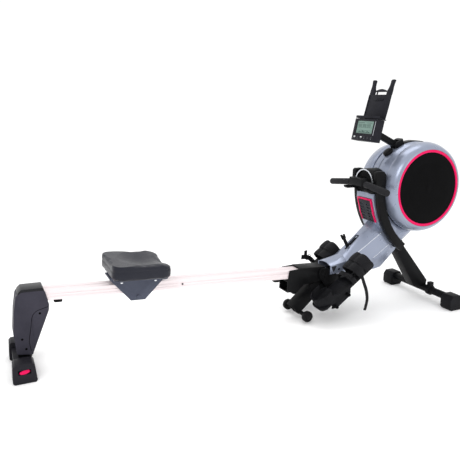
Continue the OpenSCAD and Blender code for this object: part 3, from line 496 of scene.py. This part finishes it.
# The finish, and the width of the rounded edges in metres
FINISHED_FROM_CAD = {
    "front_stabiliser": (FRAME_GREY, 0.0008), "stabiliser_caps": (FOOT_BLACK, 0.004),
    "front_leg": (FRAME_BLACK, 0.003), "main_beam": (FRAME_BLACK, 0.001),
    "wheel_strut": (FRAME_BLACK, 0.002), "footrest_bars": (FRAME_BLACK, 0.0006),
    "nose_hood": (DARK_SHELL, 0.0015), "nose_trim": (SILVER_TRIM_AND_HIGHLIGHT, 0.0004),
    "vent_panel": (VENT_AND_RECESS_SHADE, 0.0006), "vent_trim": (ACCENT, 0.0012), "neck_covers": (SILVER, 0.0015),
    "spine_shell_left": (SILVER, 0.0012), "spine_shell_right": (SILVER, 0.0012),
    "handle_arms": (FRAME_BLACK, 0.003), "console_base": (DARK_SHELL, 0.0012),
    "arm_knob": (DARK_SHELL, 0.0012), "brake_lever": (DARK_SHELL, 0.0012),
    "lock_pin": (FRAME_BLACK, 0.0008), "heel_cup_left": (FOOT_BLACK, 0.0015),
    "heel_cup_right": (FOOT_BLACK, 0.0015), "strut_wheel_left": (DARK_SHELL, 0.0008),
    "strut_wheel_right": (DARK_SHELL, 0.0008), "rail": (RAIL, 0.0006),
    "hinge_bracket": (FRAME_BLACK, 0.0008), "rail_bumpers": (RUBBER, 0.0015),
    "rear_covers": (REAR_SHELL, 0.004), "rear_post": (FRAME_BLACK, 0.0012),
    "rear_foot": (FOOT_BLOCK, 0.0035), "seat_carriage": (CARRIAGE, 0.0008),
    "console_arm": (FRAME_BLACK, 0.003), "console_case": (CONSOLE, 0.006),
    "console_screen": (LCD, 0.0004),
    **{f"console_button_{i}": (KEY_LIGHT if i in LIGHT_KEYS else KEY_DARK, 0.0008)
       for i in range(1, KEY_COUNT + 1)},
    "drum_cover_left": (SILVER, 0.001), "drum_cover_right": (SILVER, 0.001),
    "accent_rings": (ACCENT, 0.0008), "footplate_left": (FOOT_BLACK, 0.002),
    "footplate_right": (FOOT_BLACK, 0.002), "handle_bar": (FRAME_BLACK, 0.004),
    "handle_grips": (FOAM, 0.0035),
}

for node, (look, width) in FINISHED_FROM_CAD.items():
    refined(node, look, width)

# ------------------------------------------------ seat pad

SEAT_HALF_LENGTH, SEAT_HALF_WIDTH = 131, 140
SEAT_UNDERSIDE, SEAT_HIGHEST = 38.4, 99.5
SEAT_MARGIN = 0.4           # kept free inside those half sizes
GROOVE_HEIGHT, GROOVE_DEPTH = 76, 2.6
COVER_SWELL = 0.005         # metres
CLOTH_STEPS = 20
CLOTH_PRESSURE = 4


def baked(piece):
    """Keeps what the piece's modifiers give, and takes them off."""
    made = piece.evaluated_get(bpy.context.evaluated_depsgraph_get())
    mesh = bpy.data.meshes.new_from_object(made)
    piece.modifiers.clear()
    piece.data = mesh


def filled_out(piece, cap):
    """Lets the cover swell as cloth under pressure, with no point moved further than the cap."""
    rest = [v.co.copy() for v in piece.data.vertices]
    cloth = piece.modifiers.new("cover", "CLOTH")
    cloth.settings.use_pressure = True
    cloth.settings.uniform_pressure_force = CLOTH_PRESSURE
    cloth.settings.effector_weights.gravity = 0
    cloth.point_cache.frame_start = 1
    cloth.point_cache.frame_end = CLOTH_STEPS
    for step in range(1, CLOTH_STEPS + 1):
        bpy.context.scene.frame_set(step)
    swollen = piece.evaluated_get(bpy.context.evaluated_depsgraph_get())
    ends = [v.co.copy() for v in swollen.data.vertices]
    piece.modifiers.remove(cloth)
    bpy.context.scene.frame_set(1)
    for vertex, start, end in zip(piece.data.vertices, rest, ends):
        shift = end - start
        vertex.co = start + shift * min(1.0, cap / max(shift.length, 1e-9))


def ease(value, low, high):
    """Rises smoothly from 0 at low to 1 at high."""
    t = min(max((value - low) / (high - low), 0.0), 1.0)
    return t * t * (3 - 2 * t)


def seat_contour(x, y, z):
    """Height added to the pad's top: raised tail and sides, a hollow, and a dip for the thighs."""
    u, v = x / SEAT_HALF_LENGTH, y / SEAT_HALF_WIDTH
    lift = 8 * ease(-u, -0.1, 0.8) + 8 * v * v
    lift -= 15 * math.exp(-(u - 0.05) ** 2 / 0.3 - v * v / 0.35)
    lift -= 14 * math.exp(-(v / 0.36) ** 2) * ease(u, 0.3, 1.0)
    lift -= 9 * ease(u, 0.45, 1.0)
    return lift * ease(z, 62, 84)


def held(value, limit):
    """The value, no further than the limit from 0."""
    return max(min(value, limit), -limit)


def seat_shaped(x, y, z):
    """Moves a point of the plain pad to its place on the finished one."""
    z += seat_contour(x, y, z)
    corner = math.hypot(max(abs(x) - 86, 0), max(abs(y) - 95, 0)) / 46
    if max(abs(x) / SEAT_HALF_LENGTH, abs(y) / SEAT_HALF_WIDTH, corner) > 0.86:
        line = math.exp(-((z - GROOVE_HEIGHT) / 2.6) ** 2)
        x -= math.copysign(GROOVE_DEPTH * line * min(1, abs(x) / 90), x)
        y -= math.copysign(GROOVE_DEPTH * line * min(1, abs(y) / 110), y)
    return Vector((held(x, SEAT_HALF_LENGTH - SEAT_MARGIN), held(y, SEAT_HALF_WIDTH - SEAT_MARGIN),
                   min(max(z, SEAT_UNDERSIDE), SEAT_HIGHEST)))


def make_seat_pad():
    bm = bmesh.new()
    plate(bm, rounded(250, 268, 42, 8), 40, 91, way="Z")
    soften(bm, 9, 3, above=50)
    pad = settle(bm, "seat_cushion", SEAT, LEATHER_BLACK, "seat", stands_for=("seat_pad",))
    even = pad.modifiers.new("even_mesh", "REMESH")
    even.mode = "VOXEL"
    even.voxel_size = 0.005
    baked(pad)
    filled_out(pad, COVER_SWELL)
    finer = pad.modifiers.new("finer", "SUBSURF")
    finer.levels = 1
    finer.render_levels = 1
    baked(pad)
    back = SEAT.inverted()
    for vertex in pad.data.vertices:
        vertex.co = SEAT @ seat_shaped(*(back @ vertex.co))
    pad.data.shade_smooth()
    pad.data.materials.clear()
    pad.data.materials.append(LEATHER_BLACK)


make_seat_pad()


def make_carriage_bolts():
    bm = bmesh.new()
    for x in (-71, 71):
        rod(bm, 6.2, 1.6, (x, -50.6, 13.3), sides=6)
        rod(bm, 4.0, 1.2, (x, -51.8, 13.3), sides=24)
    soften(bm, 0.4)
    mirrored(bm)
    settle(bm, "carriage_bolts", SEAT, STEEL, "seat")


make_carriage_bolts()

# ------------------------------------------------ foot straps

SIDES = (("right", -1), ("left", 1))
SOLE_MIDDLE = 126
STRAP_PADDING = 10


def padded_band(bm, path, widths, thick):
    """A band of soft webbing along a path: crowned across its width, with a stitched rim."""
    section = [(-1, 0.15), (-0.88, 0.28), (-0.8, 0.2), (-0.6, 0.42), (0, 0.5), (0.6, 0.42),
               (0.8, 0.2), (0.88, 0.28), (1, 0.15), (1, -0.15), (0.8, -0.3), (0, -0.34),
               (-0.8, -0.3), (-1, -0.15)]
    carried(bm, path, (1, 0, 0), lambda i: [(a * (widths[i] / 2), -u * thick) for a, u in section])


def arch(x, middle, half, top):
    """Points of a flat-topped arch over a foot plate, from its outer side to its inner side."""
    low = 6
    base = [(-1.0, low), (-1.0, low + 0.35 * (top - low)), (-0.93, low + 0.66 * (top - low)),
            (-0.68, 0.93 * top), (-0.3, top), (0, top - 3), (0.3, top), (0.68, 0.93 * top),
            (0.93, low + 0.66 * (top - low)), (1.0, low + 0.35 * (top - low)), (1.0, low)]
    return flowing([(x, middle + half * a, z) for a, z in base], 3)


def swell(count, ends, mid, pinch):
    """Widths along a band: narrow ends, a wide middle, and a pinch at its very centre."""
    out = []
    for i in range(count):
        t = i / (count - 1)
        out.append(ends + (mid - ends) * math.sin(math.pi * t) ** 0.7
                   - pinch * math.exp(-((t - 0.5) / 0.07) ** 2))
    return out


def make_foot_straps():
    for side, sign in SIDES:
        middle = sign * SOLE_MIDDLE
        bm = bmesh.new()
        toe = arch(304, middle, 55, 66)
        padded_band(bm, toe, swell(len(toe), 44, 56, 4), STRAP_PADDING)
        instep = arch(256, middle, 55, 58)
        padded_band(bm, instep, swell(len(instep), 32, 50, 4), STRAP_PADDING)
        strap = settle(bm, "toe_strap_" + side, SOLE, WEBBING, "frame",
                       stands_for=("foot_straps",) if side == "right" else ())

        # The right foot's narrow strap lies closed with its end over it; the left one stands open
        bm = bmesh.new()
        if side == "right":
            swept(bm, arch(206, middle, 57, 40), rounded(26, 2.4, 1, 2), across=(1, 0, 0))
            end = flowing([(206, middle - 30, 39), (196, middle - 20, 48),
                           (178, middle - 6, 50)], 5)
            swept(bm, end, rounded(24, 2.4, 1, 2), across=(0.3, 0.2, 0))
        else:
            upright = flowing([(212, middle + 57, 6), (206, middle + 56, 34),
                               (190, middle + 50, 62), (166, middle + 44, 84)], 5)
            swept(bm, upright, rounded(2.6, 24, 1, 2))
            end = flowing([(186, middle + 50, 64), (200, middle + 47, 86),
                           (206, middle + 45, 96)], 4)
            swept(bm, end, rounded(2.6, 18, 1, 2))
        settle(bm, "instep_strap_" + side, SOLE, WEBBING, "frame")

        bm = bmesh.new()
        ring = [(0, 0), (14, 0), (17, 8), (14, 16), (0, 16), (-14, 16), (-17, 8), (-14, 0), (0, 0)]
        x, y, z = (214, middle - 50, 36) if side == "right" else (200, middle + 54, 44)
        swept(bm, [(x + a, y, z + b) for a, b in ring], rounded(3, 3, 1, 2))
        settle(bm, "strap_buckle_" + side, SOLE, FRAME_BLACK, "frame")

    bm = bmesh.new()
    tail = flowing([(1539, -184, 233), (1551, -186, 200), (1566, -187.5, 160), (1574, -187.5, 120),
                    (1571, -187, 90), (1564, -187, 61)], 6)
    swept(bm, tail, rounded(1.8, 17, 0.8, 2))
    mirrored(bm)
    settle(bm, "strap_tails", FLOOR, WEBBING, "frame")


make_foot_straps()

# ------------------------------------------------ pull strap


def make_pull_strap():
    bm = bmesh.new()
    run = [(1646 + i * 4.2, 0, 635.3) for i in range(18)]
    swept(bm, run, rounded(25, 2, 0.8, 2))
    band = settle(bm, "pull_band", FLOOR, WEBBING, "handle", stands_for=("pull_strap",))


make_pull_strap()

# ------------------------------------------------ tablet holder


def make_tablet_holder():
    # Back plate, two prongs and the bridge between them
    bm = bmesh.new()
    plate(bm, [(-79, 1), (79, 1), (80, 60), (78, 119), (-78, 119), (-80, 60)], 0.5, 5.5, way="X")
    prong = [(79, 118), (79, 140), (77, 158), (78, 172), (81, 183), (80, 188), (72, 190), (58, 189),
             (52, 184), (53, 176), (52, 160), (47, 146), (42, 136), (42, 118)]
    plate(bm, prong, 0, 6, way="X")
    plate(bm, [(-y, z) for y, z in prong], 0, 6, way="X")
    bridge = flowing([(-48, 133), (-36, 139), (-18, 144), (0, 146), (18, 144), (36, 139),
                      (48, 133)], 3)
    plate(bm, bridge + [(40, 132), (-40, 132)], 0.5, 5.5, way="X")
    bar(bm, 26.5, 117, 7, 19, 1, 5)
    # Raised rims down both sides, the ledge with its lip, and the pad that stops a tablet slipping
    for sign in (-1, 1):
        plate(bm, [(sign * 76, 2), (sign * 80, 2), (sign * 79.5, 118), (sign * 75.5, 118)], -2, 3,
              way="X")
    bar(bm, 0, -3.5, 172, 5, -37.5, 5.5)
    plate(bm, [(-86.5, -4), (86.5, -4), (86.5, 7), (83, 8), (-83, 8), (-86.5, 7)], -38, -34.5,
          way="X")
    pad = flowing([(-30, 90), (-32, 98), (-24, 103), (0, 105), (24, 103), (32, 98), (30, 90)], 3)
    plate(bm, pad, -2, 2, way="X")
    for z in (93, 97, 101):
        bar(bm, 0, z, 44, 1.4, -3, -1)
    soften(bm, 0.7, 2, above=40)
    settle(bm, "tablet_rest", HOLDER, CONSOLE, "console_head", stands_for=("tablet_holder",))


make_tablet_holder()

# ------------------------------------------------ console face

SCREEN_MARK = (0.6, 1.15)   # from and to, across the screen's face
SEGMENTS = ((0, 0, 7, 1.4), (0, 6, 7, 1.4), (0, 12, 7, 1.4), (-4, 3.6, 1.4, 5), (4, 3.6, 1.4, 5),
            (-4, 9.6, 1.4, 5), (4, 9.6, 1.4, 5))


def make_console_face():
    bm = bmesh.new()
    for y, z, w, h in ((0, 30, 128, 3.8), (0, 94.2, 128, 3.8), (-62.1, 33.8, 3.8, 60.4),
                       (62.1, 33.8, 3.8, 60.4)):
        bar(bm, y, z, w, h, -0.8, 1.1)
    settle(bm, "screen_surround", FACE, REAR_TOP, "console_head")

    # Two captions, two rules, plain digits of seven bars each, and a row of columns
    bm = bmesh.new()
    for y, z, w, h in ((30, 84, 44, 1.6), (-28, 84, 40, 1.6), (0, 62, 108, 1.0), (0, 48, 108, 1.0)):
        bar(bm, y, z, w, h, *SCREEN_MARK)
    for y in (44, 30, 12, -2, -20, -34):
        for dy, dz, w, h in SEGMENTS:
            bar(bm, y + dy, 66 + dz - h / 2, w, h, *SCREEN_MARK)
    for i in range(9):
        bar(bm, 48 - i * 12, 38, 8, 2 + (i * 5) % 8, *SCREEN_MARK)
    settle(bm, "screen_marks", FACE, LCD_MARK, "console_head")

    # A painted highlight down one edge, drawn as a bright silver strip, and a tick under each key
    bm = bmesh.new()
    plate(bm, [(-74, 28), (-71.6, 28), (-71.6, 92), (-72.6, 95), (-74, 95)], -0.9, 1, way="X")
    for i in range(KEY_COUNT):
        bar(bm, (i - 2.5) * 25, 9.5, 3.2, 1.1, -0.4, 1)
    settle(bm, "console_highlight_and_ticks", FACE, SILVER_TRIM_AND_HIGHLIGHT, "console_head")


make_console_face()

# ------------------------------------------------ drum and spine

HOLE_RINGS = 12
HOLE_RADIUS = 1.5
SEAM_RADIUS = 220.4


def make_drum_details():
    bm = bmesh.new()
    turned(bm, [(0.02, -133.3), (175, -133.3), (175, -136), (172, -137.4), (166, -138),
                (0.02, -138)], 96)
    turned(bm, [(16, -137.9), (16, -138.8), (10, -139.2), (0.02, -139.3), (0.02, -137.9)], 48)
    mirrored(bm)
    settle(bm, "grille_discs", DRUM, GRILLE, "frame", stands_for=("drum_grilles",))

    bm = bmesh.new()
    for ring in range(HOLE_RINGS):
        radius = 24 + 9 * ring
        count = int(radius / 1.75)
        for k in range(count):
            a = math.tau * (k + 0.5 * (ring % 2)) / count
            place = (radius * math.cos(a), -138.05, radius * math.sin(a))
            rod(bm, HOLE_RADIUS, 0.4, place, sides=6)
    mirrored(bm)
    settle(bm, "grille_holes", DRUM, HOLE, "frame")

    bm = bmesh.new()
    turned(bm, [(200, -64.5), (205.5, -64.5), (207.6, -66.2), (204, -69), (200, -69)], 128)
    mirrored(bm)
    settle(bm, "cover_lips", DRUM, SILVER, "frame")

    bm = bmesh.new()
    seam = [(SEAM_RADIUS * math.cos(math.radians(a)), 0, SEAM_RADIUS * math.sin(math.radians(a)))
            for a in range(130, 157, 2)]
    swept(bm, seam, rounded(1.0, 0.9, 0.3, 1))
    settle(bm, "spine_seam", DRUM, DARK_SHELL, "frame")


make_drum_details()

# ------------------------------------------------ neck

NECK_SLOPE = 41.4
SLOT_MIDDLE = (1619, 356.6)


def make_neck_details():
    # Painted highlights: thin bright rods along the ridge and the crease on each side of the neck,
    # standing in for the light those edges catch
    bm = bmesh.new()
    swept(bm, [(1598, -57.0, 303), (1640, -58.3, 329), (1724, -60.3, 384), (1762, -60.3, 408)],
          rounded(2.2, 2.2, 0.8, 2))
    swept(bm, [(1700, -59.7, 270.3), (1724, -60.3, 284), (1762, -60.3, 310), (1804, -60.3, 337)],
          rounded(2.0, 2.0, 0.8, 2))
    mirrored(bm)
    settle(bm, "neck_crease_highlights", FLOOR, SILVER_TRIM_AND_HIGHLIGHT, "frame")

    # Painted shade: a flat dark triangular plate on each side of the neck where its recess lies in
    # shade
    bm = bmesh.new()
    plate(bm, [(1459, 252), (1489, 254), (1471, 222)], -54.6, -52)
    soften(bm, 0.6)
    mirrored(bm)
    settle(bm, "neck_recess_shades", FLOOR, VENT_AND_RECESS_SHADE, "frame")

    # A thin rim round the slot for the brake lever: two long sides and two ends
    bm = bmesh.new()
    tilt = Matrix.Rotation(math.radians(-NECK_SLOPE), 4, "Y")
    slot_x, slot_z = SLOT_MIDDLE
    for y in (-9.2, 9.2):
        box_shape(bm, (66, 4, 3), (slot_x, y, slot_z), tilt)
    for along in (-31, 31):
        box_shape(bm, (4, 22, 3), (slot_x + along * 0.75, 0, slot_z + along * 0.661), tilt)
    soften(bm, 0.6)
    settle(bm, "lever_slot", FLOOR, FRAME_BLACK, "frame")


make_neck_details()

# ------------------------------------------------ rear leg, foot and wheels

REAR_COVER_FACE = -40.5


def make_rear_details():
    bm = bmesh.new()
    seam = [(155, 254), (128, 247), (108, 240), (93, 221), (84, 172), (75, 122), (80, 82)]
    swept(bm, flowing([(x, REAR_COVER_FACE, z) for x, z in seam], 5), rounded(0.9, 1.7, 0.4, 1))
    mirrored(bm)
    settle(bm, "rear_seams", FLOOR, HOLE, "rail_unit")

    bm = bmesh.new()
    for x, z in ((122, 231), (50, 135), (62, 93)):
        rod(bm, 4.2, 1.2, (x, -40.4, z), sides=20)
    mirrored(bm)
    settle(bm, "rear_screw_holes", FLOOR, HOLE, "rail_unit")

    bm = bmesh.new()
    plate(bm, [(45.6, 313), (49.4, 322.4), (61.8, 333.9), (140.5, 331.9), (145.6, 319.6),
               (100, 321.8), (62, 322.4)], -40.8, 40.8)
    soften(bm, 2.2, 3)
    settle(bm, "rear_cap", FLOOR, REAR_TOP, "rail_unit")

    bm = bmesh.new()
    rod(bm, 19, 6, (0, 0, 0), sides=40)
    soften(bm, 2.0, 3)
    bmesh.ops.scale(bm, verts=bm.verts, vec=(1, 1, 0.42))
    bmesh.ops.rotate(bm, verts=bm.verts, cent=(0, 0, 0),
                     matrix=Matrix.Rotation(math.radians(-9), 4, "Y"))
    bmesh.ops.translate(bm, verts=bm.verts, vec=(44, -138.4, 46))
    mirrored(bm)
    settle(bm, "foot_lenses", FLOOR, ACCENT, "rail_unit")

    for side, sign in SIDES:
        bm = bmesh.new()
        turned(bm, [(0.02, -105.5), (6, -105.0), (10, -103.2), (12.6, -100.5), (12.6, -99.6),
                    (0.02, -99.6)], 36)
        bmesh.ops.translate(bm, verts=bm.verts, vec=(1307, 0, 36))
        if sign == 1:
            bmesh.ops.scale(bm, verts=bm.verts, vec=(1, -1, 1))
        settle(bm, "wheel_cap_" + side, FLOOR, DARK_SHELL, "wheel_" + side)


make_rear_details()
